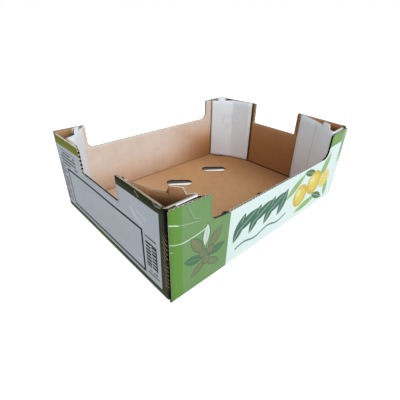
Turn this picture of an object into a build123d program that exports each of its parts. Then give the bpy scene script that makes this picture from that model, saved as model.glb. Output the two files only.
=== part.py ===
import os

from build123d import *

# A stacking tray for fruit, folded from one die-cut blank of corrugated board.
# It stands on the XY plane, centred on the origin, with its length along X.

# Outside of the folded tray
tray_length = 400.0
tray_width = 300.0
end_height = 135.0
side_height = 133.0

# The board and the inside of its creases
board = 3.0
crease_radius = 0.8

# Panels of the end walls: a raised shoulder at each corner, a dip between them
end_shoulder = 99.0
end_dip = 38.0
end_dip_radius = 3.0

# Panels of the side walls, cut short of the corners, with one shoulder wider than the other
# and a tighter foot to the wide shoulder in front
side_inset = 1.0
side_wide_shoulder = 63.0
side_narrow_shoulder = 52.0
side_dip = 39.0
side_dip_radius = 12.0
front_wide_dip_radius = 7.0
shoulder_radius = 2.0

# Corner posts: a flap of the end panel, folded along the side wall, back across the
# corner and on to the end wall, where its edge is bedded in glue
post_side_leg = 48.0
post_end_leg = 49.0
post_end_gap = 14.0
post_end_setback = 9.0
post_glue_depth = 1.0
post_floor_gap = 0.5

# Stacking tab on top of each post, nearer to the fold at the side wall, and its play
# in the floor slot of a tray above
tab_base = 22.0
tab_top = 15.0
tab_height = 9.0
tab_radius = 2.0
tab_nose_shift = 4.0
tab_play = 0.75

# Air vents in the floor, all lying at one slant
vent_length = 53.0
vent_width = 23.0
vent_slant = -41.0
vent_columns = 3
vent_rows = 2
vent_pitch_along = 101.0
vent_pitch_across = 158.0

# How far every cut runs past the board
overrun = 5.0

half_length = tray_length / 2
half_width = tray_width / 2
crease_outer = crease_radius + board
end_inside = half_length - board
side_inside = half_width - board
end_half_run = side_inside - crease_outer
side_half_run = half_length - side_inset
flap_bottom = crease_outer + post_floor_gap
end_half_gap = half_width - end_shoulder
side_gap_start = side_wide_shoulder - half_length
side_gap_stop = half_length - side_narrow_shoulder
up = Vector(0, 0, 1)

with BuildPart() as tray:
    # Floor, as far as its four creases
    with BuildSketch():
        Rectangle(tray_length - 2 * crease_outer, tray_width - 2 * crease_outer)
    extrude(amount=board)

    # One end panel and one side panel, each rising from the crease at its foot
    for plane, half_span, height, half_run in (
        (Plane.XZ, half_length, end_height, end_half_run),
        (Plane.YZ, half_width, side_height, side_half_run),
    ):
        with BuildSketch(plane):
            with BuildLine():
                crease = CenterArc((half_span - crease_outer, crease_outer), crease_outer, -90, 90)
                Line(crease @ 1, (half_span, height))
                offset(amount=board, side=Side.LEFT)
            make_face()
        extrude(amount=half_run, both=True)

    # One post flap, drawn in plan along the printed face of the board
    with BuildSketch(Plane.XY.offset(flap_bottom)):
        with BuildLine():
            flap = FilletPolyline(
                (half_length, end_half_run - board),
                (half_length, side_inside),
                (half_length - post_side_leg, side_inside),
                (end_inside - board - post_end_gap, half_width - post_end_leg),
                (end_inside - board + post_glue_depth, end_half_gap + post_end_setback),
                radius=(crease_outer, crease_outer, crease_radius),
            )
            offset(amount=board, side=Side.LEFT)
        make_face()
    extrude(amount=end_height - flap_bottom)

    # The flap's diagonal: along it, from its printed face into the post, and the tab's place
    diagonal = flap.edges().filter_by(GeomType.LINE).sort_by(flap)[2]
    along = diagonal % 0.5
    inward = along.rotate(Axis.Z, 90)
    tab_seat = diagonal @ 0.5 - along * tab_nose_shift

    # Stacking tab, standing on the diagonal's top edge
    with BuildSketch(Plane(tab_seat + up * end_height, x_dir=-along, z_dir=inward)) as tab:
        Polygon(
            (-tab_base / 2, 0),
            (tab_base / 2, 0),
            (tab_top / 2, tab_height),
            (-tab_top / 2, tab_height),
            align=None,
        )
        fillet(tab.vertices().group_by(Axis.Z)[-1], radius=tab_radius)
    extrude(amount=board)

    # The other three corners and the walls opposite
    mirror(about=Plane.YZ)
    mirror(about=Plane.XZ)

    # Dips in the four walls, the side walls turned half round from each other but for one foot
    for sign, wide_dip_radius in ((1, front_wide_dip_radius), (-1, side_dip_radius)):
        end_face = Plane((sign * end_inside, 0, 0), x_dir=(0, sign, 0), z_dir=(sign, 0, 0))
        end_radii = (shoulder_radius, end_dip_radius, end_dip_radius, shoulder_radius)
        side_face = Plane((0, -sign * side_inside, 0), x_dir=(sign, 0, 0), z_dir=(0, -sign, 0))
        side_radii = (shoulder_radius, wide_dip_radius, side_dip_radius, shoulder_radius)
        for face, low, high, top, depth, radii in (
            (end_face, -end_half_gap, end_half_gap, end_height, end_dip, end_radii),
            (side_face, side_gap_start, side_gap_stop, side_height, side_dip, side_radii),
        ):
            with BuildSketch(face):
                with BuildLine():
                    rim = FilletPolyline(
                        (low - overrun, top),
                        (low, top),
                        (low, top - depth),
                        (high, top - depth),
                        (high, top),
                        (high + overrun, top),
                        radius=radii,
                    )
                    Polyline(
                        rim @ 1,
                        (high + overrun, top + overrun),
                        (low - overrun, top + overrun),
                        rim @ 0,
                    )
                make_face()
            extrude(amount=board + overrun, mode=Mode.SUBTRACT)

    # Slots in the floor for the tabs of a tray below, which pass behind the diagonals' feet
    with BuildSketch():
        with Locations(tab_seat + inward * (board + tab_play / 2)):
            Rectangle(
                tab_base + 2 * tab_play,
                2 * board + tab_play,
                rotation=Vector(1, 0, 0).get_signed_angle(along, up),
            )
        mirror(about=Plane.YZ)
        mirror(about=Plane.XZ)
    extrude(amount=board, mode=Mode.SUBTRACT)

    # Vents through the floor
    with BuildSketch():
        with GridLocations(vent_pitch_along, vent_pitch_across, vent_columns, vent_rows):
            SlotOverall(vent_length, vent_width, rotation=vent_slant)
    extrude(amount=board, mode=Mode.SUBTRACT)

tray.part.label = "tray"

os.makedirs("parts", exist_ok=True)
export_step(tray.part, "parts/tray.step")
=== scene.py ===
import math
from types import SimpleNamespace

import bmesh
import bpy
from mathutils import Matrix, Vector, noise
from mathutils.bvhtree import BVHTree


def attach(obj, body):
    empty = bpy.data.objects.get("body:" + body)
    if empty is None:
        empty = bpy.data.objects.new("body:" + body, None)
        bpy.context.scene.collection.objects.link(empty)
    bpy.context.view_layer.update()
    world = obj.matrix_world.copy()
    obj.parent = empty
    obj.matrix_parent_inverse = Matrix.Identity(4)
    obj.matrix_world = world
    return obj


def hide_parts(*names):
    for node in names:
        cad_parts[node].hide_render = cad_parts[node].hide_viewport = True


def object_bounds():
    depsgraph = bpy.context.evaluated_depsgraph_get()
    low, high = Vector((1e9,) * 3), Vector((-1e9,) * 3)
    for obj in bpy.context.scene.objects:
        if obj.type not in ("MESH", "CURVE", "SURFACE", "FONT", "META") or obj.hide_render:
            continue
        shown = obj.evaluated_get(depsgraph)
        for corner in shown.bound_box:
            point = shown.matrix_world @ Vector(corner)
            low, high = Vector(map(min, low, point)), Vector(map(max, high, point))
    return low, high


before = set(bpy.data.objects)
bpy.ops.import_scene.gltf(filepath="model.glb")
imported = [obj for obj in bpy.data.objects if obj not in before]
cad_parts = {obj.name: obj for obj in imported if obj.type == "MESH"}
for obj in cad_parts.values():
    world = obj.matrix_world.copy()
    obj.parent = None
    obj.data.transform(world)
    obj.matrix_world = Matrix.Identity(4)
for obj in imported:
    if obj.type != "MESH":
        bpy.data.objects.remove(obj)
cadLow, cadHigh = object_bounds()
mm = 0.001
print("frame loaded", [round(side / mm) for side in cadHigh - cadLow])

blank = SimpleNamespace(  # the folded blank, in millimetres
    board=3,
    creaseOuter=3.8,  # outside radius of every fold
    endHeight=135,
    endGap=51,  # half the dip in an end wall
    endDip=38,
    endFoot=3,
    sideHeight=133,
    sideInset=1,
    sideWide=63,
    sideNarrow=52,
    sideDip=39,
    frontFeet=(7, 12),  # radii at the foot of the wide and the narrow shoulder
    backFeet=(12, 12),
    shoulder=2,
    postSide=48,
    postEnd=49,
    postGap=14,  # from the end wall to the fold of the flap
    postGlue=1,
    postFree=90,  # from the corner to the free edge of the flap
    flapBottom=4.3,
    tab=(22, 15, 9),  # foot, top and height of a stacking tab
    tabShift=4,  # from the middle of the diagonal towards its nose
    tabPlay=0.75,
    vent=(53, 23, -41),  # length, width and slant
    ventPitch=(101, 158),
)
thick, crease = blank.board, blank.creaseOuter
endHeight, sideHeight = blank.endHeight, blank.sideHeight
halfLength = cadHigh.x / mm
halfWidth = cadHigh.y / mm
endInside = halfLength - thick
sideInside = halfWidth - thick
flapStart = sideInside - crease
skin = 0.1  # a point this near to a face lies on it, mm


# points along a bent strip, each with the side that the board is on
def foldedPath(corners, radii, steps=6):
    line = [corners[0]]
    for before, corner, after, radius in zip(corners, corners[1:], corners[2:], radii):
        back = (before - corner).normalized()
        ahead = (after - corner).normalized()
        half = back.angle(ahead) / 2
        centre = corner + (back + ahead).normalized() * (radius / math.sin(half))
        first = (corner + back * (radius / math.tan(half)) - centre).normalized()
        last = (corner + ahead * (radius / math.tan(half)) - centre).normalized()
        line += [centre + first.slerp(last, k / steps) * radius for k in range(steps + 1)]
    line.append(corners[-1])
    sides = []
    for k in range(len(line)):
        run = line[min(k + 1, len(line) - 1)] - line[max(k - 1, 0)]
        sides.append(Vector((-run.y, run.x, 0)).normalized())
    return line, sides


flapCorners = [
    Vector((halfLength, flapStart - thick, 0)),
    Vector((halfLength, sideInside, 0)),
    Vector((halfLength - blank.postSide, sideInside, 0)),
    Vector((endInside - thick - blank.postGap, halfWidth - blank.postEnd, 0)),
    Vector((endInside - thick + blank.postGlue, halfWidth - blank.postFree, 0)),
]
flapLine, flapSides = foldedPath(flapCorners, (crease, crease, crease - thick))
# points of that line: the nose's end, the fold's start and middle, and the free edge
noseAt, foldFrom, foldAt, freeAt = 14, 15, 18, 22
diagonalRun = (flapLine[foldFrom] - flapLine[noseAt]).normalized()
diagonalSide = Vector((-diagonalRun.y, diagonalRun.x, 0))
tabSeat = (flapLine[noseAt] + flapLine[foldFrom]) / 2 - diagonalRun * blank.tabShift


class Wire:  # a socket that takes part in sums and adds the nodes that they need
    def __init__(self, tree, socket=None):
        self.tree = tree
        self.socket = socket

    def add(self, kind, sockets=None, out=0, **settings):
        made = self.tree.nodes.new(kind)
        for name, value in settings.items():
            setattr(made, name, value)
        for name, value in (sockets or {}).items():
            if isinstance(value, Wire):
                self.tree.links.new(value.socket, made.inputs[name])
            else:
                made.inputs[name].default_value = value
        return Wire(self.tree, made.outputs[out] if made.outputs else None)

    def other(self, out):
        return Wire(self.tree, self.socket.node.outputs[out])

    def math(self, operation, *terms, clamp=False):
        return self.add("ShaderNodeMath", dict(enumerate(terms)), operation=operation, use_clamp=clamp)

    def __rsub__(self, term):
        return self.math("SUBTRACT", term, self)

    def parts(self):  # x, y and z of a vector
        x = self.add("ShaderNodeSeparateXYZ", {0: self})
        return x, x.other(1), x.other(2)

    def ease(self, low, high):  # 0 below low, 1 above high, smooth between
        sockets = {"Value": self, "From Min": low, "From Max": high}
        return self.add("ShaderNodeMapRange", sockets, interpolation_type="SMOOTHSTEP")

    def fade(self, low, high, strength=1.0):
        return self.ease(low, high) * strength

    def span(self, low, high):
        return (self > low) * (self < high)

    def flat(self, tone):  # one plain colour
        made = self.add("ShaderNodeRGB")
        made.socket.default_value = ink(*tone)
        return made

    def over(self, mask, tone):  # this colour, covered by another where the mask is 1
        tone = tone if isinstance(tone, Wire) else ink(*tone)
        return self.add("ShaderNodeMix", {0: mask, 6: self, 7: tone}, 2, data_type="RGBA")

    def scaled(self, factor):
        return self.add("ShaderNodeVectorMath", {0: self, "Scale": factor}, operation="SCALE")

    def noise(self, scale, detail=2.0, rough=0.5):
        sockets = {"Vector": self, "Scale": scale, "Detail": detail, "Roughness": rough}
        return self.add("ShaderNodeTexNoise", sockets)

    def stretch(self, *factors):
        return self.add("ShaderNodeMapping", {"Vector": self, "Scale": factors})


wireSums = {  # how a sum is written, and what its node does
    "__add__": "ADD", "__radd__": "ADD", "__sub__": "SUBTRACT", "__mul__": "MULTIPLY", "__rmul__": "MULTIPLY",
    "__truediv__": "DIVIDE", "__abs__": "ABSOLUTE", "__gt__": "GREATER_THAN", "__lt__": "LESS_THAN",
    "most": "MAXIMUM", "sine": "SINE", "floor": "FLOOR", "fract": "FRACT", "root": "SQRT",
}
for name, operation in wireSums.items():
    setattr(Wire, name, lambda self, *terms, kind=operation: self.math(kind, self, *terms))


def ink(red, green, blue):  # a colour as seen on screen, 0 to 255
    def linear(part):
        part /= 255
        return part / 12.92 if part <= 0.04045 else ((part + 0.055) / 1.055) ** 2.4
    return (linear(red), linear(green), linear(blue), 1.0)


def linked(name, data):
    made = bpy.data.objects.new(name, data)
    bpy.context.collection.objects.link(made)
    return made


def meshObject(name, bm):
    mesh = bpy.data.meshes.new(name)
    bm.to_mesh(mesh)
    bm.free()
    return linked(name, mesh)


def addSheet(piece, thickness):  # paper is as thick as this, behind the side that shows
    sheet = piece.modifiers.new("sheet", "SOLIDIFY")
    sheet.thickness = thickness * mm
    sheet.offset = -1
    return sheet


def faceTo(bm, verts, way):  # a new face that looks one way
    face = bm.faces.new(verts)
    face.normal_update()
    if face.normal.dot(way) < 0:
        face.normal_flip()
    return face


def heading(turn):
    return math.cos(math.radians(turn)), math.sin(math.radians(turn))


def strongest(masks):
    most = masks[0]
    for mask in masks[1:]:
        most = most.most(mask)
    return most


def boxMask(places, boxes):  # each box has x, y and z from and to, or None for any, and a strength
    masks = []
    for *reaches, strength in boxes:
        inside = strength
        for place, reach in zip(places, reaches):
            if reach:
                inside = place.span(*reach) * inside
        masks.append(inside)
    return strongest(masks)


def startMaterial(name):
    made = bpy.data.materials.new(name)
    made.use_nodes = True
    made.node_tree.nodes.clear()
    pen = Wire(made.node_tree)
    pen.place = pen.add("ShaderNodeTexCoord", out="Object")
    return made, pen


def millimetres(pen):  # x, y and z of a point
    return [axis / mm for axis in pen.place.parts()]


paperShine = 0.06  # all the paper is dull


def endMaterial(pen, colour, roughness, height, depth):
    bump = pen.add("ShaderNodeBump", {"Strength": 1.0, "Distance": depth * mm, "Height": height})
    sockets = {"Base Color": colour, "Roughness": roughness, "Normal": bump}
    sockets["Specular IOR Level"] = paperShine
    shader = pen.add("ShaderNodeBsdfPrincipled", sockets)
    pen.add("ShaderNodeOutputMaterial", {"Surface": shader})


flute = SimpleNamespace(  # corrugated middle of the board, mm
    pitch=6.2,
    paper=0.7,
    steps=8,
    recess=0.15,  # from a cut across the flutes
    deep=2.6,  # from a cut along the flutes
    stride=16,
    flapStride=5,
    sideStrides=6,
    flat=0.25,  # how much of a wave lies flat on the kraft liner
    lip=3,  # depth of a crushed edge, and how far its layers lie from the middle
    lips=(-1, -0.25, 0.5),
    lipEnd=3,  # where the crushed edge ends, before a dip
)
washboard = 2 * math.pi / flute.pitch


def paperGrain(pen):  # fine fibres and a soft mottle, both about 0.5
    fibres = pen.place.stretch(1.0, 0.35, 1.0).noise(700, 3.0, 0.6)
    mottle = pen.place.noise(55, 4.0, 0.55)
    return fibres, mottle


kraftLook = SimpleNamespace(
    pale=(233, 217, 204),
    mid=(202, 155, 111),
    deep=(150, 94, 52),
    fleck=(92, 62, 40),
    flecks=0.71,  # higher for fewer
    shade=(50, 30, 18),
    square=0.7,  # how squarely a wall has to look one way
    postDepth=2,  # the inside of a post starts this far behind its diagonal
    postFrom=100,
    # where a tone starts and where it is full, mm, and its strength
    # painted light and shade: the back wall paler at the top and browner low down towards the far end, and
    # the end wall that faces the label browner low down
    backPaleRise=(-30, 70),
    backPaleRun=(160, 0),
    backPaleTop=(30, 100, 0.8),
    backDeepRun=(20, 150, 0.7),
    backDeepRise=(80, 20),
    backFoot=(50, 0, 0.14),
    floorPale=(20, -180, 0.45),
    floorDeep=(60, 190, 0.6),
    endDeep=0.7,
    endFade=(50, 100, 0.35),
    endShade=0.07,
    hollowRise=(152, 105),
    hollowBack=(118, 143),
    hollowLow=(133.5, 116),
    hollowDark=(0.85, 0.81, 0.40),  # far posts, the front one beside the label, the back one
    creaseRise=(6.6, 4.2),
    creaseRoom=5.5,
    farEnd=190,
    shades=[
        ((195.5, 201), (55.2, 60.2), None, 0.75),  # beside a glued edge
        ((190, 201), (114, 135), (130, 150), 0.8),  # beside a tab
    ],
    crushSpan=(50.5, 60.5),  # crushed flutes show beside the dip of the far end
    crushRise=(98, 104),
)


def kraftPaper():
    look = kraftLook
    made, pen = startMaterial("kraft_liner")
    x, y, z = places = millimetres(pen)
    toX, toY, toZ = pen.add("ShaderNodeNewGeometry", out="True Normal").parts()
    fibres, mottle = paperGrain(pen)
    blotch = pen.place.noise(9, 3.0, 0.5)
    streak = pen.place.stretch(1.0, 1.0, 0.06).noise(120, 2.0, 0.5)
    back = (toY < -look.square) * (y > 0)  # the long wall that faces the front
    right = toX < -look.square  # the end wall that faces the label
    floor = toZ > look.square
    depth = abs(x) * diagonalSide.x + abs(y) * diagonalSide.y - tabSeat.dot(diagonalSide)
    behind = (depth > look.postDepth) * (abs(y) > look.postFrom)

    # Painted light and shade on the walls: the back wall, which faces the lamp, is paler at the top and
    # browner low towards the far end, and the end wall that faces the label is browner low down. The floor is
    # paler towards the label and browner towards the far end.
    pale = z.fade(*look.backPaleRise) * x.fade(*look.backPaleRun)
    pale = back * pale.most(z.fade(*look.backPaleTop)) * (1 - behind)
    pale = pale.most(floor * x.fade(*look.floorPale))
    deep = right * (look.endDeep - z.fade(*look.endFade))
    deep = deep.most(floor * x.fade(*look.floorDeep))
    deep = deep.most(back * x.fade(*look.backDeepRun) * z.fade(*look.backDeepRise))
    colour = pen.flat(look.mid).over(pale, look.pale).over(deep, look.deep)
    colour = colour.scaled(0.78 + 0.22 * mottle + 0.16 * blotch + 0.10 * fibres + 0.06 * streak)

    # painted shade: darker in the hollow posts, the creases, the feet of the walls, beside a glued edge and a
    # tab, and on the end wall that faces the label, where little light reaches
    hollow = abs(y).fade(*look.hollowBack) * z.fade(*look.hollowLow)
    hollow = behind * hollow.most(z.fade(*look.hollowRise))
    far, front, rear = look.hollowDark
    dark = hollow * (far - (x < 0) * (far - front + (front - rear) * (y > 0)))
    creased = (abs(x) > halfLength - look.creaseRoom).most(abs(y) > halfWidth - look.creaseRoom)
    dark = dark.most(z.fade(*look.creaseRise) * creased * (0.4 + 0.4 * (x > look.farEnd)))
    dark = dark.most(boxMask(places, look.shades))
    dark = dark.most(back * z.fade(*look.backFoot)).most(right * look.endShade)
    colour = colour.over(dark, look.shade)

    fleck = pen.place.stretch(0.3, 1.0, 1.0).noise(420, 2.0, 0.7) > look.flecks
    strip = right * abs(y).span(*look.crushSpan) * z.fade(*look.crushRise)
    hatch = ((z + abs(y) * 0.6 + 4.0 * mottle) * washboard).sine().ease(-0.4, 0.7)
    hatch = hatch * pen.place.noise(260, 3.0).ease(0.35, 0.6)
    colour = colour.over(fleck * 0.35, look.fleck).over(strip * (0.15 + 0.5 * hatch), look.fleck)
    endWall = abs(toX) > 0.5
    wave = ((x * (1 - endWall) + z * endWall) * washboard).sine()
    height = 0.45 * fibres + 0.25 * mottle + 0.12 * wave
    endMaterial(pen, colour, 0.72 + 0.2 * mottle, height, 0.22)
    return made


whiteLook = SimpleNamespace(
    paper=(244, 250, 255),
    grey=(224, 227, 234),
    greyRise=(0, 120),
    lap=(66, 70, 28),  # the olive print, which runs on round the corners
    lapReach=186.5,
    lapWidth=4,
    score=(168, 168, 172),
    scoreWidth=(1.2, 0.5),
    smudge=(186, 192, 206),
    smudgeAcross=(113, (20, 4)),  # its middle, and where it starts and is full
    smudgeUp=(92, (30, 0)),
)


def whitePaper():
    look = whiteLook
    made, pen = startMaterial("white_liner")
    x, y, z = millimetres(pen)
    fibres, mottle = paperGrain(pen)
    # greyer towards the foot, in blotches
    greyToFoot = (0.9 - z.ease(*look.greyRise)) * (0.4 + 0.9 * pen.place.noise(14, 4.0, 0.6))
    greyToFoot = greyToFoot.math("MULTIPLY", greyToFoot, 0.8, clamp=True)
    colour = pen.flat(look.paper).over(greyToFoot, look.grey).scaled(0.95 + 0.08 * mottle)
    # a darker line along the fold, painted shade in its crease, also bumped in
    score = abs(abs(y) - flapLine[foldAt].y).ease(*look.scoreWidth)
    score = score * (1 - (x > 0) * (0.5 + 0.5 * (y > 0)))  # fainter at the far end
    smudge = (x > 0) * (y > 0) * pen.place.noise(90, 3.0).ease(0.4, 0.65)
    for place, (middle, reach) in ((y, look.smudgeAcross), (z, look.smudgeUp)):
        smudge = smudge * abs(place - middle).ease(*reach)
    lap = (abs(x) > look.lapReach) * (abs(y) > sideInside - look.lapWidth)
    colour = colour.over(smudge * 0.4, look.smudge)
    colour = colour.over(score * 0.7, look.score).over(lap, look.lap)
    wave = (z * washboard).sine()
    height = 0.35 * fibres + 0.2 * mottle + 0.12 * wave - 0.5 * score
    endMaterial(pen, colour, 0.5 + 0.2 * mottle, height, 0.2)
    return made


cutLook = SimpleNamespace(
    edge=(232, 220, 202),
    # the fluting is painted nearly black, as shade inside the board
    core=(46, 32, 22),
    # painted shade on cut edges, nearly black
    cutShade=(16, 12, 9),
    wornInk=(146, 112, 80),
    backInk=(196, 178, 160),
    # painted shade on the upright edges of the side panels and round the vents
    shadedEdges=[  # the same at all corners
        ((197.2, 201), (146.3, 149.6), None, 1),  # upright edges of the side panels
        ((-1, 190), None, (-1, 2.9), 0.8),  # edges of the vents
    ],
    # painted shade on cut edges at these places
    dark=[
        ((132, 151.5), (-151, -145), (90, 131.5), 1),  # far foot of the front dip
        ((-137.5, -105), (-151, -145), (85, 100), 0.85),  # near foot of the front dip
        ((-190, -155), (112.5, 118.7), (134.5, 150), 0.85),  # one side of a tab
        ((187, 201), (-151, -139), (128, 150), 0.85),  # top of the front wall's far corner
    ],
    # painted shade in the open flutes
    fluteShades=[((-201, -196.5), (30, 75), (100, 133.5), 1)],  # open flutes beside the label's dip
    worn=[  # top edges of the post between the label and the front
        ((-201, -196.5), (-151, -50), (120, 150), 0.6),
        ((-194.5, -150), (-117, -50), (100, 131.9), 0.85),
    ],
    back=[(None, (146.8, 151), (90, 150), 0.6)],  # top edge of the back wall
)


def cutPaper(name, tone):  # the cut edge of a sheet, and the fluted sheet inside
    look = cutLook
    made, pen = startMaterial(name)
    x, y, z = places = millimetres(pen)
    fibres, mottle = paperGrain(pen)
    colour = pen.flat(tone).scaled(0.7 + 0.3 * mottle + 0.3 * fibres)
    fluteShade = (z * washboard).sine().ease(0.1, -0.2) * boxMask(places, look.fluteShades)
    shadedEdges = boxMask((abs(x), abs(y), z), look.shadedEdges)
    colour = colour.over(boxMask(places, look.worn), look.wornInk)
    colour = colour.over(boxMask(places, look.back), look.backInk)
    # painted shade, nearly black, on the shaded edges, at the dark places and in the open flutes
    colour = colour.over(strongest((shadedEdges, boxMask(places, look.dark), fluteShade)), look.cutShade)
    endMaterial(pen, colour, 0.85 + 0.1 * fibres, fibres, 0.1)
    return made


def panelPen(name):  # a material whose places are along and up a panel, in millimetres
    made, pen = startMaterial(name)
    panel = pen.add("ShaderNodeUVMap", uv_map="panel")
    u, v = panel.parts()[:2]
    return made, pen, u / mm, v / mm


leafRib, leafRibEnd = 0.035, 0.8  # shares of a leaf's width and half length


def leafMask(u, v, spec):
    (cu, cv), length, width, turn = spec
    c, s = heading(turn)
    share = (u - cu) * (2 * c / length) + (v - cv) * (2 * s / length)
    side = abs((v - cv) * c - (u - cu) * s)
    body = (1 - share * share) * (width / 2) - side
    rib = (side < width * leafRib) * (share < leafRibEnd)
    return body, rib


def discReach(u, v, centre):  # distance from the centre
    du, dv = u - centre[0], v - centre[1]
    return (du * du + dv * dv).root()


def strokeMask(u, v, points, width, strength=1.0):
    masks = []
    for (u0, v0), (u1, v1) in zip(points, points[1:]):
        du, dv = u1 - u0, v1 - v0
        long = du * du + dv * dv
        share = u.math("ADD", (u - u0) * (du / long), (v - v0) * (dv / long), clamp=True)
        eu, ev = u - u0 - share * du, v - v0 - share * dv
        masks.append((eu * eu + ev * ev).fade(width * width, width * width * 0.1, strength))
    return strongest(masks)


sideLook = SimpleNamespace(
    field=(222, 235, 230),
    green=(103, 146, 66),
    haze=(118, 152, 100),
    block=94.5,  # width of the green block at its foot, mm
    blockSlope=0.037,
    strip=18.5,  # the strip beside the corner, which has no painted sheen
    sprigInks=[(236, 246, 236), (138, 132, 96), (84, 120, 88)],  # pale, brown and green leaves
    sprigLine=(68, 98, 88),
    sprigLineWidth=1.4,
    sprig=[  # leaves: middle, length, width and turn, each with its ink
        (((56, 76), 36, 13, 84), 0),
        (((41, 69), 38, 15, 122), 1),
        (((71, 66), 38, 15, 50), 1),
        (((36, 49), 34, 14, 162), 2),
        (((75, 46), 32, 13, 14), 2),
        (((43, 31), 30, 12, 212), 1),
        (((68, 29), 30, 12, -32), 1),
    ],
    berries=[((50, 52), 7), ((64, 50), 7), ((56, 38), 7.5)],
    garlandInk=(72, 112, 92),
    garland=[((118 + 17 * k, 56 + 6 * (k % 2)), 48, 18, 62 - 34 * (k % 2)) for k in range(7)],
    groundInk=(92, 126, 106),
    groundSpan=(112, 236),  # a wavy line under the garland
    groundWidth=1.6,
    groundWave=(0.11, 3),
    groundLine=(24, 180, 0.03),  # height, where that is, and slope
    bladeInk=(140, 176, 104),
    blades=[
        ((254, 70), 62, 14, 32),
        ((300, 20), 76, 13, 8),
        ((346, 78), 52, 17, 62),
        ((366, 30), 44, 14, 100),
    ],
    shadeInk=(84, 116, 72),
    shade=[((296, 82), 44, 13, -18), ((338, 22), 50, 14, -28)],
    fruitInk=(222, 202, 96),
    fruitLight=(240, 230, 176),
    fruitLow=(205, 168, 62),
    fruit=[((274, 46), 21), ((316, 57), 23)],
    slice=((353, 52), 17),
    sliceParts=8,
    bandInk=(124, 160, 92),
    bandFoot=112,
    stripInk=(150, 174, 140),
    stripFrom=388,
    stripRise=(62, 90),
    glintInk=(232, 244, 226),
    glintSplit=95,  # the upper creases shine at the corner, the lower ones away from it
    glintCorner=14,
    glintRun=(12, 24),
    # painted highlights along creases of the front wall
    creases=[  # points, half width and strength
        ([(1.7, 116), (15.5, 109.6), (44.9, 103.7)], 0.9),
        ([(0.5, 91.2), (9, 86.8), (17.5, 84.6), (25, 84.3), (33, 85), (44, 86), (58, 87.1)], 0.9),
        ([(1.7, 80.4), (5.4, 78.6)], 0.8),
        ([(27.4, 129.2), (36.5, 110.6), (45.1, 107)], 0.8, 0.8),
    ],
    # painted shade along folds of the front wall
    foldShade=(92, 120, 92),
    folds=[
        ([(25.7, 129.2), (34.8, 109.4), (45.1, 105)], 1.3),
        ([(352, 92), (376, 118)], 0.9),
        ([(352, 118), (362, 100)], 0.9),
    ],
    scoreWidth=(1.4, 0.2),
    wornInk=(206, 204, 190),
    wornRise=(0.8, 3.5),
)


def sidePrint():
    look = sideLook
    made, pen, u, v = panelPen("side_print")
    fibres, mottle = paperGrain(pen)
    colour = pen.flat(look.field)
    inked = (look.blades, look.bladeInk), (look.shade, look.shadeInk), (look.garland, look.garlandInk)
    for leaves, tone in inked:
        for spec in leaves:
            body, rib = leafMask(u, v, spec)
            colour = colour.over(body > 0, tone).over((body > 0) * rib * 0.55, look.field)
    turn, swing = look.groundWave
    level, middle, slope = look.groundLine
    ground = (u * turn).sine() * swing + level + (u - middle) * slope
    ground = (abs(v - ground) < look.groundWidth) * u.span(*look.groundSpan)
    colour = colour.over(ground, look.groundInk)
    for centre, radius in look.fruit:
        reach = discReach(u, v, centre)
        lit = discReach(u, v, (centre[0] - radius * 0.35, centre[1] + radius * 0.35))
        fruit = pen.flat(look.fruitInk).over(reach.fade(radius * 0.45, radius, 0.8), look.fruitLow)
        fruit = fruit.over(lit.fade(radius * 0.6, 0, 0.85), look.fruitLight)
        colour = colour.over(reach < radius, fruit)
    centre, radius = look.slice
    reach = discReach(u, v, centre)
    spoke = u.math("ARCTAN2", v - centre[1], u - centre[0]) * (look.sliceParts / 2 / math.pi)
    spoke = abs((spoke + look.sliceParts).fract() - 0.5)
    flesh = (reach < radius * 0.82) * (reach > radius * 0.12) * (spoke < 0.43)
    colour = colour.over(reach < radius, look.fruitLow).over(reach < radius * 0.92, look.fruitLight)
    colour = colour.over(flesh, look.fruitInk)
    shoulder = u > 2 * halfLength - blank.sideNarrow
    colour = colour.over(shoulder * (v > look.bandFoot), look.bandInk)
    colour = colour.over((u > look.stripFrom) * v.ease(*look.stripRise), look.stripInk)

    # a painted sheen: the green is lighter and hazier, in clouds, beyond the strip beside the corner
    cloudy = pen.place.noise(24, 4.0, 0.6)
    haze = u.ease(look.strip - 1, look.strip + 1) * (0.62 + 0.7 * cloudy)
    green = pen.flat(look.green).over(haze, look.haze)
    line = look.sprigLineWidth
    for spec, which in look.sprig:
        body, rib = leafMask(u, v, spec)
        green = green.over((body > 0) * 0.7, look.sprigLine)
        green = green.over((body > line) * 0.7, look.sprigInks[which])
        green = green.over((body > 0) * rib * 0.6, look.haze)
    for centre, radius in look.berries:
        reach = discReach(u, v, centre)
        green = green.over((reach < radius) * 0.7, look.sprigLine)
        green = green.over((reach < radius - line) * 0.7, look.sprigInks[1])
    colour = colour.over(u < look.block + look.blockSlope * v, green)

    # painted highlights on the creases of the front wall, painted shade along its folds, and a worn foot
    front = millimetres(pen)[1] < 0
    glint = strongest([strokeMask(u, v, *stroke) for stroke in look.creases])
    glint = glint * front * (0.65 + 0.5 * pen.place.noise(60, 2.0))
    bright = (v > look.glintSplit) * (u < look.glintCorner) + 0.3
    bright = bright + (v < look.glintSplit) * (0.35 + u.ease(*look.glintRun))
    fold = strongest([strokeMask(u, v, *stroke) for stroke in look.folds]) * front
    colour = colour.over(fold * 0.3, look.foldShade)
    colour = colour.over(glint.math("MULTIPLY", glint, bright, clamp=True) * 0.85, look.glintInk)
    worn = (1 - v.ease(*look.wornRise)) * pen.place.noise(260, 3.0).ease(0.45, 0.62)
    colour = colour.over(worn * 0.7, look.wornInk).scaled(0.93 + 0.10 * mottle + 0.04 * fibres)
    score = abs(u - look.strip).ease(*look.scoreWidth) * front
    ripple = (u * washboard).sine()
    height = 0.16 * ripple + 0.2 * fibres + 0.3 * mottle + 0.9 * glint - 0.8 * fold - 0.6 * score
    endMaterial(pen, colour, 0.36 + 0.22 * mottle, height, 0.25)
    return made


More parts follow.
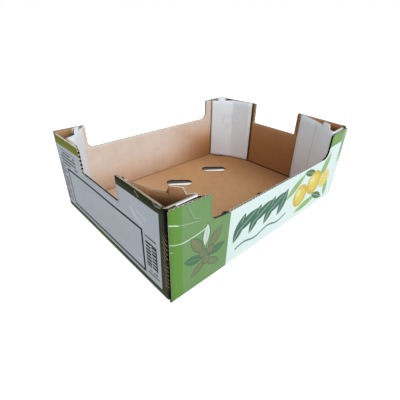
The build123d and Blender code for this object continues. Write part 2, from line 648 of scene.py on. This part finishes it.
labelLook = SimpleNamespace(
    field=(196, 197, 201),
    olive=(126, 128, 36),
    dark=(40, 46, 16),
    darkRun=(100, 200),
    line=(5, 5, 7),
    frame=(38.5, 251, 16.5, 85),  # left, right, foot and top of the ruled box, mm
    rule=3.6,
    dashInk=(44, 46, 52),
    dashes=[  # left, right, foot, top, pitch of the rows and length of a dash
        (18, 80, 89, 115, 6, 7),
        (6, 31, 18, 86, 5.6, 5),
        (256, 279, 20, 31, 5.2, 4),
        (255, 277, 75.5, 81, 5.2, 3.4),
    ],
    dashGaps=0.16,  # share of the dashes that are left blank
    dashTall=0.46,  # share of a row
    bars=(255.5, 277, 33, 72),
    barsPerMm=0.19,
    barGap=1,
    barEdge=2.2,
    top=120.5,  # the dark border
    topSlope=0.0125,
    foot=11.5,
    low=(54, 72, 34),
    lowRun=(40, 220, 0.35),
    edge=283,
    edgeSlope=0.02,
    blackRun=(9.5, 12),  # from the border's edge
    crush=(176, 142, 112),  # flutes that show through at the corner
    crushFrom=7,
    crushPitch=6.4,
    crushTop=(108, 90),
    crushFoot=(16, 26),
    scuff=(196, 196, 180),
    glare=(244, 246, 250),
    strokes=[  # ink, points, half width and strength
        ("glare", [(229, 103.5), (237, 97), (252, 92)], 3, 0.7),
        ("glare", [(244, 106), (260, 101)], 3, 0.7),
        ("scuff", [(243.6, 131.9), (249.4, 127.8)], 1.3),
        ("scuff", [(276.5, 134.7), (280.5, 131.2), (289, 132.9)], 1.3),
    ],
)


def whiteNoise(pen, seed):
    return pen.add("ShaderNodeTexWhiteNoise", {"W": seed}, noise_dimensions="1D")


def dashRows(pen, u, v, left, right, foot, top, pitch, length):
    row = (v / pitch).floor()
    cell = (u / length).floor() + row * 57.0
    kept = whiteNoise(pen, cell) > labelLook.dashGaps
    inked = (v / pitch).fract() < labelLook.dashTall
    return u.span(left, right) * v.span(foot, top) * inked * kept


def labelInks(pen, u, v, colour):  # a ruled box, rows of dashes and a block of bars
    look = labelLook
    left, right, foot, top = look.frame
    rule = look.rule
    outer = u.span(left, right) * v.span(foot, top)
    inner = u.span(left + rule, right - rule) * v.span(foot + rule, top - rule)
    dashes = strongest([dashRows(pen, u, v, *rows) for rows in look.dashes])
    colour = colour.over(dashes * 0.9, look.dashInk).over(outer - inner, look.line)
    left, right, foot, top = look.bars
    middle = (left + right) / 2
    half = u > middle
    rung = v * look.barsPerMm + 0.4 * half
    width = whiteNoise(pen, rung.floor() + 91.0 * half)
    bar = (rung.fract() < 0.5 + 0.25 * width) * (abs(u - middle) > look.barGap)
    bar = bar.most(u > right - look.barEdge).most(v > top - look.barEdge)
    return colour.over(u.span(left, right) * v.span(foot, top) * bar, look.line)


def endPrint(name, withLabel):
    look = labelLook
    made, pen, u, v = panelPen(name)
    fibres, mottle = paperGrain(pen)
    colour = pen.flat(look.field)
    if withLabel:
        colour = labelInks(pen, u, v, colour)
    edge = look.edge
    low = v < look.foot
    band = (v - u * look.topSlope > look.top).most(low).most(u - v * look.edgeSlope > edge)
    tone = pen.flat(look.olive).over(u.ease(*look.darkRun), look.dark)
    tone = tone.over(low * (0.95 - u.fade(*look.lowRun)), look.low)
    tone = tone.over(u.ease(*(edge + reach for reach in look.blackRun)), look.line)
    colour = colour.over(band, tone)
    crush = (((v + u * 1.5) / look.crushPitch).fract() < 0.24) * (u > edge + look.crushFrom)
    crush = crush * v.ease(*look.crushTop) * v.ease(*look.crushFoot)
    crush = crush * pen.place.noise(120, 2.0).ease(0.30, 0.40)
    scuff = pen.place.stretch(1.0, 0.2, 1.0).noise(210, 4.0, 0.7).ease(0.64, 0.74)
    colour = colour.over(crush * 0.8, look.crush).over(band * scuff * 0.3, look.scuff)
    for inkName, *stroke in look.strokes if withLabel else ():
        colour = colour.over(strokeMask(u, v, *stroke) * mottle, getattr(look, inkName))
    # a painted sheen: the colour is lighter in cloudy patches, which are also rougher
    sheen = pen.place.stretch(1.0, 0.7, 1.2).noise(17, 3.0, 0.6)
    colour = colour.scaled(0.82 + 0.1 * mottle + 0.26 * sheen)
    ripple = (v * washboard).sine()
    height = 0.16 * ripple + 0.2 * fibres + 0.35 * mottle + 0.5 * scuff * band
    endMaterial(pen, colour, 0.45 + 0.24 * sheen, height, 0.25)
    return made


materials = {
    "kraft": kraftPaper(),
    "white": whitePaper(),
    "side": sidePrint(),
    "label": endPrint("label_print", True),
    "end": endPrint("end_print", False),
    "edge": cutPaper("cut_edge", cutLook.edge),
    "core": cutPaper("fluting", cutLook.core),
}
print("materials made", len(materials))

wear = SimpleNamespace(  # how this tray has settled, mm
    frontDip=0.030,  # share by which the middle of the front wall has sunk, and where that ends
    frontDipEnd=(130, 190),
    footLift=(4, 30, 20),  # front wall beside its wide shoulder: lift, reach along and reach up
    frontRise=2.5,  # front wall at the far corner
    frontRiseRun=(148, 178),
    backRise=0.030,
    postSink=0.026,  # the post between the label and the front
    postSinkRun=0.25,  # share of the flap over which it grows
    foldPush={(-1, 1): (12, 0), (-1, -1): (3, 0), (1, 1): (9.5, 10)},  # towards a corner
    shoulderRise={1: (3.5, 0), -1: (5, 2)},  # of the far end wall, beside its dip and at the corner
    shoulderAcross=(60, 145),
    shoulderAlong=(150, 190),
    tabDrop=0.3,
    labelShift=(4.5, 0.03, 140),  # the label wall's dip lies nearer to the back: shift, slope and reach
    labelShiftRun=(176, 192),
    labelShiftFade=45,
    ripple=0.8,
    rippleSize=75,
    rippleRise=(8, 68),
    rippleFade=40,
    rippleDepth=(-8, -2),  # from the inside of an end wall
    cornerRoom=25,
)
flapMiddle = [flapLine[k] + flapSides[k] * thick / 2 for k in (noseAt, foldAt, freeAt)]


def ramp(value, low, high):  # 0 below low, 1 above high, straight between
    return min(max((value - low) / (high - low), 0), 1)


def foldShare(spot):  # 1 at the fold of a flap, 0 at its nose, at its free edge and off the flap
    nose, fold, free = flapMiddle
    for start in (nose, free):
        run = fold - start
        share = (spot - start).dot(run) / run.length_squared
        if 0 < share < 1.05 and (start + run * share - spot).length < thick / 2 + 0.25:
            return min(share, 1)
    return 0


def settledSide(x, y, z):  # height on a long wall: the front one sunk in the middle, the back one high
    if y > 0:
        return z * (1 + wear.backRise)
    rim = sideHeight - blank.sideDip
    lift, along, high = wear.footLift
    aside = max(0, 1 - abs(x - blank.sideWide + halfLength) / along)
    lift *= aside * aside * min(z / rim, 1) * max(0, 1 - max(z - rim, 0) / high)
    lift += wear.frontRise * ramp(x, *wear.frontRiseRun) * max(0, z - rim) / blank.sideDip
    return z * (1 - wear.frontDip * (1 - ramp(abs(x), *wear.frontDipEnd))) + lift


def settled(point):  # how the walls and posts stand, all a little wavy
    x, y, z = point / mm
    onFlap = abs(y) < sideInside + skin and abs(x) > halfLength - blank.postSide
    onFlap = onFlap and z > sideHeight - 2 * skin
    if abs(y) > sideInside - skin and z < sideHeight + skin / 2 and not onFlap:
        z = settledSide(x, y, z)
    share = foldShare(Vector((abs(x), abs(y), 0)))
    if share and z > blank.flapBottom - skin:
        corner = (int(math.copysign(1, x)), int(math.copysign(1, y)))
        push = wear.foldPush.get(corner, (0, 0))
        lean = share * min(1, z / endHeight)
        x += corner[0] * push[0] * lean
        y += corner[1] * push[1] * lean
        if corner == (-1, -1):
            z *= 1 - wear.postSink * min(1, share / wear.postSinkRun)
    rim = endHeight - blank.endDip
    if x > wear.shoulderAlong[0] and abs(y) < sideInside and z > rim:
        atDip, atCorner = wear.shoulderRise[int(math.copysign(1, y))]
        rise = atDip + (atCorner - atDip) * ramp(abs(y), *wear.shoulderAcross)
        rise *= ramp(x, *wear.shoulderAlong)
        over = max(0, z - endHeight)  # a tab is pressed down, so that its top stays in place
        if over:
            z += rise - (rise + wear.tabDrop) * over / blank.tab[2]
        else:
            z += rise * (z - rim) / blank.endDip
    shift, slope, reach = wear.labelShift
    near = ramp(-x, *wear.labelShiftRun)
    if near and abs(y) < reach:
        y += (shift + slope * y) * ramp(reach - abs(y), 0, wear.labelShiftFade) * near
    swell = 0.5 + 0.5 * noise.noise(Vector((x, y, z)) / wear.rippleSize)
    swell *= wear.ripple * ramp(z, *wear.rippleRise)
    room = halfLength - wear.cornerRoom - abs(x)
    if abs(y) > sideInside - skin and room > 0:
        y -= math.copysign(swell * min(1, room / wear.rippleFade), y)
    room = flapStart - wear.cornerRoom - abs(y)
    depth = ramp(abs(x) - endInside, *wear.rippleDepth)
    if depth and room > 0:
        x -= math.copysign(swell * depth * min(1, room / wear.rippleFade), x)
    return Vector((x, y, z)) * mm


def onFlapPrint(point):  # true where a point in plan lies on the printed side of a post flap
    spot = Vector((abs(point.x), abs(point.y), 0)) / mm
    for start, stop in zip(flapLine, flapLine[1:]):
        run = stop - start
        share = min(max((spot - start).dot(run) / run.length_squared, 0), 1)
        if (start + run * share - spot).length < 1.5 * skin:
            return True
    return False


liner = SimpleNamespace(  # sheets on both sides of the board, mm
    thick=0.35,
    cell=9,
    deepest=2.3,  # boards behind a face, beyond which the face is a cut edge
    lapDrop=0.3,
    printSkin=0.6,
    sharp=32,
    upright=0.1,  # how far the faces of walls and of prints may lean
    toSide=0.3,
    toEnd=0.02,
)


def isPrinted(face):
    centre, normal = face.calc_center_median(), face.normal
    if abs(normal.z) > liner.upright:
        return normal.z < 0
    outside = abs(centre.x) > (halfLength - skin) * mm or abs(centre.y) > (halfWidth - skin) * mm
    return outside or onFlapPrint(centre)


def bareBoard():  # the frame's tray without its cut edges: printed faces marked 1, kraft faces 0
    bm = bmesh.new()
    bm.from_mesh(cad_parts["tray"].data)
    bmesh.ops.remove_doubles(bm, verts=bm.verts, dist=0.002 * mm)
    bm.normal_update()
    tree = BVHTree.FromBMesh(bm)
    cut = []
    for face in bm.faces:
        inward = -face.normal
        deep = tree.ray_cast(face.calc_center_median() + inward * 0.01 * mm, inward)[3]
        if deep is None or deep > liner.deepest * thick * mm:
            cut.append(face)
        face.material_index = int(isPrinted(face))
    bmesh.ops.delete(bm, geom=cut, context="FACES")
    delimit = {"MATERIAL"}
    bmesh.ops.dissolve_limit(bm, angle_limit=0.002, verts=bm.verts, edges=bm.edges, delimit=delimit)
    for axis, reach in enumerate((halfLength, halfWidth, endHeight)):
        normal = Vector([float(k == axis) for k in range(3)])
        count = round(2 * reach / liner.cell)
        for k in range(1, count):
            geometry = bm.verts[:] + bm.edges[:] + bm.faces[:]
            place = normal * (-reach + 2 * reach * k / count) * mm
            bmesh.ops.bisect_plane(bm, geom=geometry, plane_co=place, plane_no=normal, dist=0.001 * mm)
    return bm


corners = [(sx, sy) for sx in (1, -1) for sy in (1, -1)]


def lapSheets(bm):  # the liners between two boards that are glued together
    low, top = blank.flapBottom, sideHeight - liner.lapDrop
    farX = halfLength - crease
    for sx, sy in corners:
        for way, kind in ((-sy, 0), (sy, 1)):
            high = top / (1 + wear.backRise) if kind and sy > 0 else top
            noseX = halfLength - blank.postSide + crease * (1 + kind)
            lap = [(sx * noseX, low), (sx * farX, low), (sx * farX, high), (sx * noseX, high)]
            verts = [bm.verts.new(Vector((x, sy * sideInside, z)) * mm) for x, z in lap]
            faceTo(bm, verts, Vector((0, way, 0))).material_index = kind


def panelOf(centre, normal):  # which print a face carries, and where it lies on that panel, in metres
    outward = centre.y * normal.y > 0 and abs(normal.y) > liner.toSide
    if outward and abs(centre.y) > (halfWidth - crease) * mm:
        if abs(centre.y) > (halfWidth - liner.printSkin) * mm or abs(normal.z) > liner.upright:
            way = -1 if centre.y > 0 else 1
            return "side", lambda p: (halfLength * mm + way * p.x, p.z)
    outward = centre.x * normal.x > 0 and abs(normal.x) > liner.toEnd
    if outward and abs(centre.x) > (halfLength - crease) * mm:
        if centre.x < 0:
            return "label", lambda p: (halfWidth * mm - p.y, p.z)
        return "end", lambda p: (halfWidth * mm + p.y, p.z)
    return "white", lambda p: (p.x, p.z)


def linerObject(source, name, kind, slots):
    bm = source.copy()
    bmesh.ops.delete(bm, geom=[f for f in bm.faces if f.material_index != kind], context="FACES")
    places = bm.loops.layers.uv.new("panel")
    for face in bm.faces:
        use, where = "kraft", lambda p: (p.x, p.z)
        if kind:
            use, where = panelOf(face.calc_center_median(), face.normal)
        face.material_index = slots.index(use)
        for loop in face.loops:
            loop[places].uv = where(loop.vert.co)
    for vert in bm.verts:
        vert.co = settled(vert.co)
    made = meshObject(name, bm)
    for slot in slots:
        made.data.materials.append(materials[slot])
    made.data.shade_smooth()
    made.data.set_sharp_from_angle(angle=math.radians(liner.sharp))
    sheet = addSheet(made, liner.thick)
    sheet.material_offset = -len(slots)  # the hidden side takes the first slot
    sheet.material_offset_rim = len(slots)  # the rim takes the last
    return made


board = bareBoard()
lapSheets(board)
printedSlots = ["core", "side", "label", "end", "white", "edge"]
printedLiner = linerObject(board, "printed_liner", 1, printedSlots)
kraftLiner = linerObject(board, "kraft_liner", 0, ["core", "kraft", "edge"])
board.free()
print("liners made", len(printedLiner.data.polygons), len(kraftLiner.data.polygons))


def dipFoot(reach, radius):  # how far a rounded foot stands off its wall, at a height above the dip
    return radius - math.sqrt(max(radius * radius - (radius - reach) ** 2, 0)) if reach < radius else 0.0


def endSpans(z):  # lengths of board across an end wall at a height, less the recess
    rim = endHeight - blank.endDip
    reach = flapStart - 2 * skin
    if z < rim - flute.deep:
        return [(-reach, reach)]
    gap = blank.endGap - dipFoot(max(z - rim, 0), blank.endFoot) + flute.recess
    gap += dipFoot(endHeight - z, blank.shoulder)
    return [(-reach, -gap), (gap, reach)]


def sideTop(x, feet):  # height of the front wall's cut edge along its length; the back wall's is turned
    low, high = blank.sideWide - halfLength, halfLength - blank.sideNarrow
    top, rim = sideHeight, sideHeight - blank.sideDip
    if x < low or x > high:
        reach = min(abs(x - low), abs(x - high))
        return top - dipFoot(reach, blank.shoulder)
    return rim + max(dipFoot(x - low, feet[0]), dipFoot(high - x, feet[1]))


def inOpening(x, y):  # true in a vent or a slot of the floor
    length, width, slant = blank.vent
    c, s = heading(slant)
    for cx in (-1, 0, 1):
        for cy in (-0.5, 0.5):
            dx, dy = x - cx * blank.ventPitch[0], y - cy * blank.ventPitch[1]
            along = max(abs(dx * c + dy * s) - (length - width) / 2, 0)
            if math.hypot(along, dy * c - dx * s) < width / 2 + flute.recess:
                return True
    play, recess = blank.tabPlay, flute.recess
    spot = Vector((abs(x), abs(y), 0)) - tabSeat - diagonalSide * (thick + play / 2)
    along, across = abs(spot.dot(diagonalRun)), abs(spot.dot(diagonalSide))
    return along < blank.tab[0] / 2 + play + recess and across < thick + play / 2 + recess


def floorSpans(x, step=0.5):
    reach = sideInside - 1.0
    spans, start = [], None
    for k in range(round(2 * reach / step) + 1):
        y = -reach + k * step
        if inOpening(x, y):
            if start is not None and y - step > start:
                spans.append((start, y - step))
            start = None
        elif start is None:
            start = y
    if start is not None:
        spans.append((start, reach))
    return spans


# a flat sheet of rows; each row has its place across the flutes and its spans along them
def layRows(bm, rows, place):
    across, facing = bm.verts.layers.float["across"], bm.verts.layers.float_vector["facing"]
    last = []
    for a, spans in rows:
        now = []
        for span in spans:
            line = []
            for b in span:
                point, face = place(a, b)
                vert = bm.verts.new(settled(Vector(point) * mm))
                vert[across] = a * mm
                vert[facing] = Vector(face)
                line.append(vert)
            now.append(line)
        if [len(line) for line in last] == [len(line) for line in now]:
            for low, high in zip(last, now):
                for k in range(len(low) - 1):
                    faceTo(bm, (low[k], low[k + 1], high[k + 1], high[k]), low[k][facing])
        last = now


def strides(span, count=None):  # points along a span, close enough to follow a wavy wall
    count = count or max(1, round((span[1] - span[0]) / flute.stride))
    return [span[0] + (span[1] - span[0]) * k / count for k in range(count + 1)]


def steps(low, high):  # points across the flutes
    return strides((low, high), round((high - low) / flute.pitch * flute.steps))


def fineFlap():  # points and sides along a flap, close enough to follow a settled one
    fine = []
    for k in range(len(flapLine) - 1):
        count = max(1, round((flapLine[k + 1] - flapLine[k]).length / flute.flapStride))
        for part in range(count):
            side = flapSides[k].lerp(flapSides[k + 1], part / count).normalized()
            fine.append((flapLine[k].lerp(flapLine[k + 1], part / count), side))
    return fine + [(flapLine[-1], flapSides[-1])]


def wallRows(bm):  # the four walls and the floor
    half, recess = thick / 2, flute.recess
    for sign in (1, -1):
        heights = steps(crease, endHeight - recess)
        endRows = [(z, [strides(span) for span in endSpans(z)]) for z in heights]
        layRows(bm, endRows, lambda z, y: ((sign * (halfLength - half), y, z), (sign, 0, 0)))
        feet = blank.frontFeet if sign > 0 else blank.backFeet
        reach = halfLength - blank.sideInset - flute.deep
        sideRows = []
        for x in steps(-reach, reach):
            top = min(sideTop(x + off, feet) for off in (-flute.paper, 0, flute.paper)) - recess
            sideRows.append((x, [strides((crease, top), flute.sideStrides)]))
        layRows(bm, sideRows, lambda x, z: ((sign * x, sign * (half - halfWidth), z), (0, -sign, 0)))
    floorRows = [(x, floorSpans(x)) for x in steps(crease - halfLength, halfLength - crease)]
    layRows(bm, floorRows, lambda x, y: ((x, y, half), (0, 0, -1)))


def postRows(bm, sx, sy):  # one post flap, its crushed top edge and its tab
    half, recess, crest = thick / 2, flute.recess, flute.pitch / 2
    fine = fineFlap()
    foot, top, tall = blank.tab

    def stand(spot, side, z):  # a point at this corner, and the way its printed side looks
        return (sx * spot.x, sy * spot.y, z), (-sx * side.x, -sy * side.y, 0)

    def flapPlace(z, k):
        point, side = fine[k]
        point = point + side * half
        if k == len(fine) - 1:
            point = point + Vector((0, recess, 0))
        return stand(point, side, z)

    heights = steps(blank.flapBottom + recess, endHeight - recess)
    layRows(bm, [(z, [range(len(fine))]) for z in heights], flapPlace)
    lipRows = [(a, [range(len(fine) - 1)]) for a in (0, crest)]
    tabRows = [(a, [(recess - wide / 2, wide / 2 - recess)]) for a, wide in ((0, foot), (crest, top))]
    for off in flute.lips:
        def lipPlace(a, k):
            point, side = fine[k]
            z = endHeight - recess - (0 if a else flute.lip)
            return stand(point + side * (half + off), side, z)

        def tabPlace(a, reach):
            point = tabSeat + diagonalRun * reach + diagonalSide * (half + off)
            return stand(point, diagonalSide, endHeight + (tall if a else 0) - recess)

        layRows(bm, lipRows, lipPlace)
        layRows(bm, tabRows, tabPlace)


def shoulderRows(bm, sign, off):  # crushed top edges of an end wall
    gap = blank.endGap + flute.lipEnd
    spans = [strides((-flapStart, -gap)), strides((gap, flapStart))]

    def shoulderPlace(a, y):
        z = endHeight - flute.recess - (0 if a else flute.lip)
        return (sign * (halfLength - thick / 2 - off), y, z), (sign, 0, 0)

    layRows(bm, [(a, spans) for a in (0, flute.pitch / 2)], shoulderPlace)


def flutedSheets():
    bm = bmesh.new()
    bm.verts.layers.float.new("across")
    bm.verts.layers.float_vector.new("facing")
    wallRows(bm)
    for sx, sy in corners:
        postRows(bm, sx, sy)
    for sign in (1, -1):
        for off in flute.lips:
            shoulderRows(bm, sign, off)
    return meshObject("fluting", bm)


def waveTree():  # bends a flat sheet into flutes
    tree = bpy.data.node_groups.new("flute_wave", "GeometryNodeTree")
    inputs = {"Sheet": "Geometry", "Pitch": "Float", "Swing": "Float", "Shift": "Float", "Paper": "Material"}
    sockets = {}
    for name, kind in inputs.items():
        made = tree.interface.new_socket(name, in_out="INPUT", socket_type="NodeSocket" + kind)
        sockets[name] = made.identifier
    tree.interface.new_socket("Fluting", in_out="OUTPUT", socket_type="NodeSocketGeometry")
    pen = Wire(tree)
    given = pen.add("NodeGroupInput")
    across = pen.add("GeometryNodeInputNamedAttribute", {"Name": "across"}, data_type="FLOAT")
    facing = pen.add("GeometryNodeInputNamedAttribute", {"Name": "facing"}, data_type="FLOAT_VECTOR")
    turn = across * (2 * math.pi) / given.other("Pitch")
    flat = flute.flat
    crest = (turn.sine().most(-flat) + flat) * (2 / (1 + flat)) - 1
    shift = facing.scaled(crest * given.other("Swing") + given.other("Shift"))
    bent = pen.add("GeometryNodeSetPosition", {"Geometry": given, "Offset": shift})
    whole = pen.add("GeometryNodeRealizeInstances", {"Geometry": bent})
    paper = given.other("Paper")
    dressed = pen.add("GeometryNodeSetMaterial", {"Geometry": whole, "Material": paper})
    pen.add("NodeGroupOutput", {0: dressed})
    return tree, sockets


fluting = flutedSheets()
tree, sockets = waveTree()
wave = fluting.modifiers.new("wave", "NODES")
wave.node_group = tree
wave[sockets["Pitch"]] = flute.pitch * mm
wave[sockets["Swing"]] = (thick / 2 - liner.thick - flute.paper / 2) * mm
wave[sockets["Shift"]] = (flute.paper / 2) * mm
wave[sockets["Paper"]] = materials["core"]
bent = bpy.data.meshes.new_from_object(fluting.evaluated_get(bpy.context.evaluated_depsgraph_get()))
fluting.modifiers.remove(wave)
fluting.data = bent
bent.name = "fluting"
addSheet(fluting, flute.paper).material_offset_rim = 1
bent.materials.append(materials["edge"])
print("fluting made", len(bent.polygons))

for piece in (printedLiner, kraftLiner, fluting):
    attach(piece, "root")
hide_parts("tray")


stage = SimpleNamespace(
    size=60,
    drop=0.0002,
    floor=(246, 246, 246),
    glow=0.72,
    # painted shadow on the floor under the tray, which also glows less
    shade=(222, 222, 222),  # floor under the tray
    shadeReach=(190, 140),
    shadeGlow=0.40,
    # painted shadow on the far half of what each vent shows
    gloom=(96, 84, 74),  # far half of what a vent shows
    gloomGlow=0.30,
    gloomSlant=0.12,
    gloomEdge=(-1, 4),
    gloomReach=(0.55, 0.6),  # shares of a vent's length and width
    sky=(0.86, 0.94, 1),
    ambient=0.60,
    key=27,
    keySize=1.6,
    keyPlace=(0, -1.9, 1.45),
    keyAim=(0, 0, 0.06),
)


def seenDirectly(pen):  # 1 for what the camera sees, also in or through a surface
    path = pen.add("ShaderNodeLightPath")
    return path.most(path.other("Is Glossy Ray")).most(path.other("Is Transmission Ray"))


# painted shadow of each vent's far edge on the floor beneath
def ventGloom(x, y):
    length, width, slant = blank.vent
    stepX, stepY = blank.ventPitch
    fromX = ((x / stepX + 0.5).fract() - 0.5) * stepX
    fromY = ((y / stepY).fract() - 0.5) * stepY
    c, s = heading(slant)
    across = fromY * c - fromX * s
    along = fromX * c + fromY * s
    far = (across - along * stage.gloomSlant).ease(*stage.gloomEdge)
    reachAlong, reachAcross = stage.gloomReach
    return far * (across < width * reachAcross) * (abs(along) < length * reachAlong)


def makeFloor():
    bm = bmesh.new()
    bmesh.ops.create_grid(bm, x_segments=1, y_segments=1, size=stage.size / 2)
    floor = meshObject("floor", bm)
    made, pen = startMaterial("studio_floor")
    x, y = millimetres(pen)[:2]
    # painted shadow: the floor is greyer and glows less under the tray, and darker again below the vents
    under = (abs(x) < stage.shadeReach[0]) * (abs(y) < stage.shadeReach[1])
    gloom = ventGloom(x, y)
    ground = pen.flat(stage.floor).over(under, stage.shade).over(under * gloom, stage.gloom)
    matt = pen.add("ShaderNodeBsdfDiffuse", {"Color": ground})
    strength = stage.glow - under * (stage.shadeGlow + stage.gloomGlow * gloom)
    glow = pen.add("ShaderNodeEmission", {"Strength": seenDirectly(pen) * strength})
    both = pen.add("ShaderNodeAddShader", {0: matt, 1: glow})
    pen.add("ShaderNodeOutputMaterial", {"Surface": both})
    floor.data.materials.append(made)
    floor.location.z = -stage.drop


def makeLight():
    world = bpy.data.worlds.new("studio")
    bpy.context.scene.world = world
    world.use_nodes = True
    world.node_tree.nodes.clear()
    pen = Wire(world.node_tree)
    seen = seenDirectly(pen)
    sky = pen.add("ShaderNodeRGB")
    sky.socket.default_value = (*stage.sky, 1.0)
    sky = sky.over(seen, (255, 255, 255))
    strength = seen + (1 - seen) * stage.ambient
    sky = pen.add("ShaderNodeBackground", {"Color": sky, "Strength": strength})
    pen.add("ShaderNodeOutputWorld", {"Surface": sky})

    lamp = bpy.data.lights.new("key", "AREA")
    lamp.energy = stage.key
    lamp.size = stage.keySize
    key = linked("key", lamp)
    key.location = stage.keyPlace
    key.rotation_euler = (Vector(stage.keyAim) - key.location).to_track_quat("-Z", "Y").to_euler()


view = SimpleNamespace(
    place=(-335.46, -339.32, 290.58),
    yaw=0.812675,
    pitch=0.552914,
    roll=0.0210918,
    lens=26.13,
    near=0.01,
)


def makeCamera():
    lens = bpy.data.cameras.new("camera")
    lens.lens = view.lens
    lens.clip_start = view.near
    camera = linked("camera", lens)
    yaw, pitch, roll = view.yaw, view.pitch, view.roll
    ahead = Vector((math.cos(yaw) * math.cos(pitch), math.sin(yaw) * math.cos(pitch), -math.sin(pitch)))
    level = Vector((math.sin(yaw), -math.cos(yaw), 0))
    rise = level.cross(ahead)
    right = level * math.cos(roll) + rise * math.sin(roll)
    up = rise * math.cos(roll) - level * math.sin(roll)
    turn = Matrix((right, up, -ahead)).transposed().to_4x4()
    camera.matrix_world = Matrix.Translation(Vector(view.place) * mm) @ turn
    bpy.context.scene.camera = camera


makeFloor()
makeLight()
makeCamera()
bpy.context.scene.view_settings.view_transform = "Standard"
print("stage and camera made")
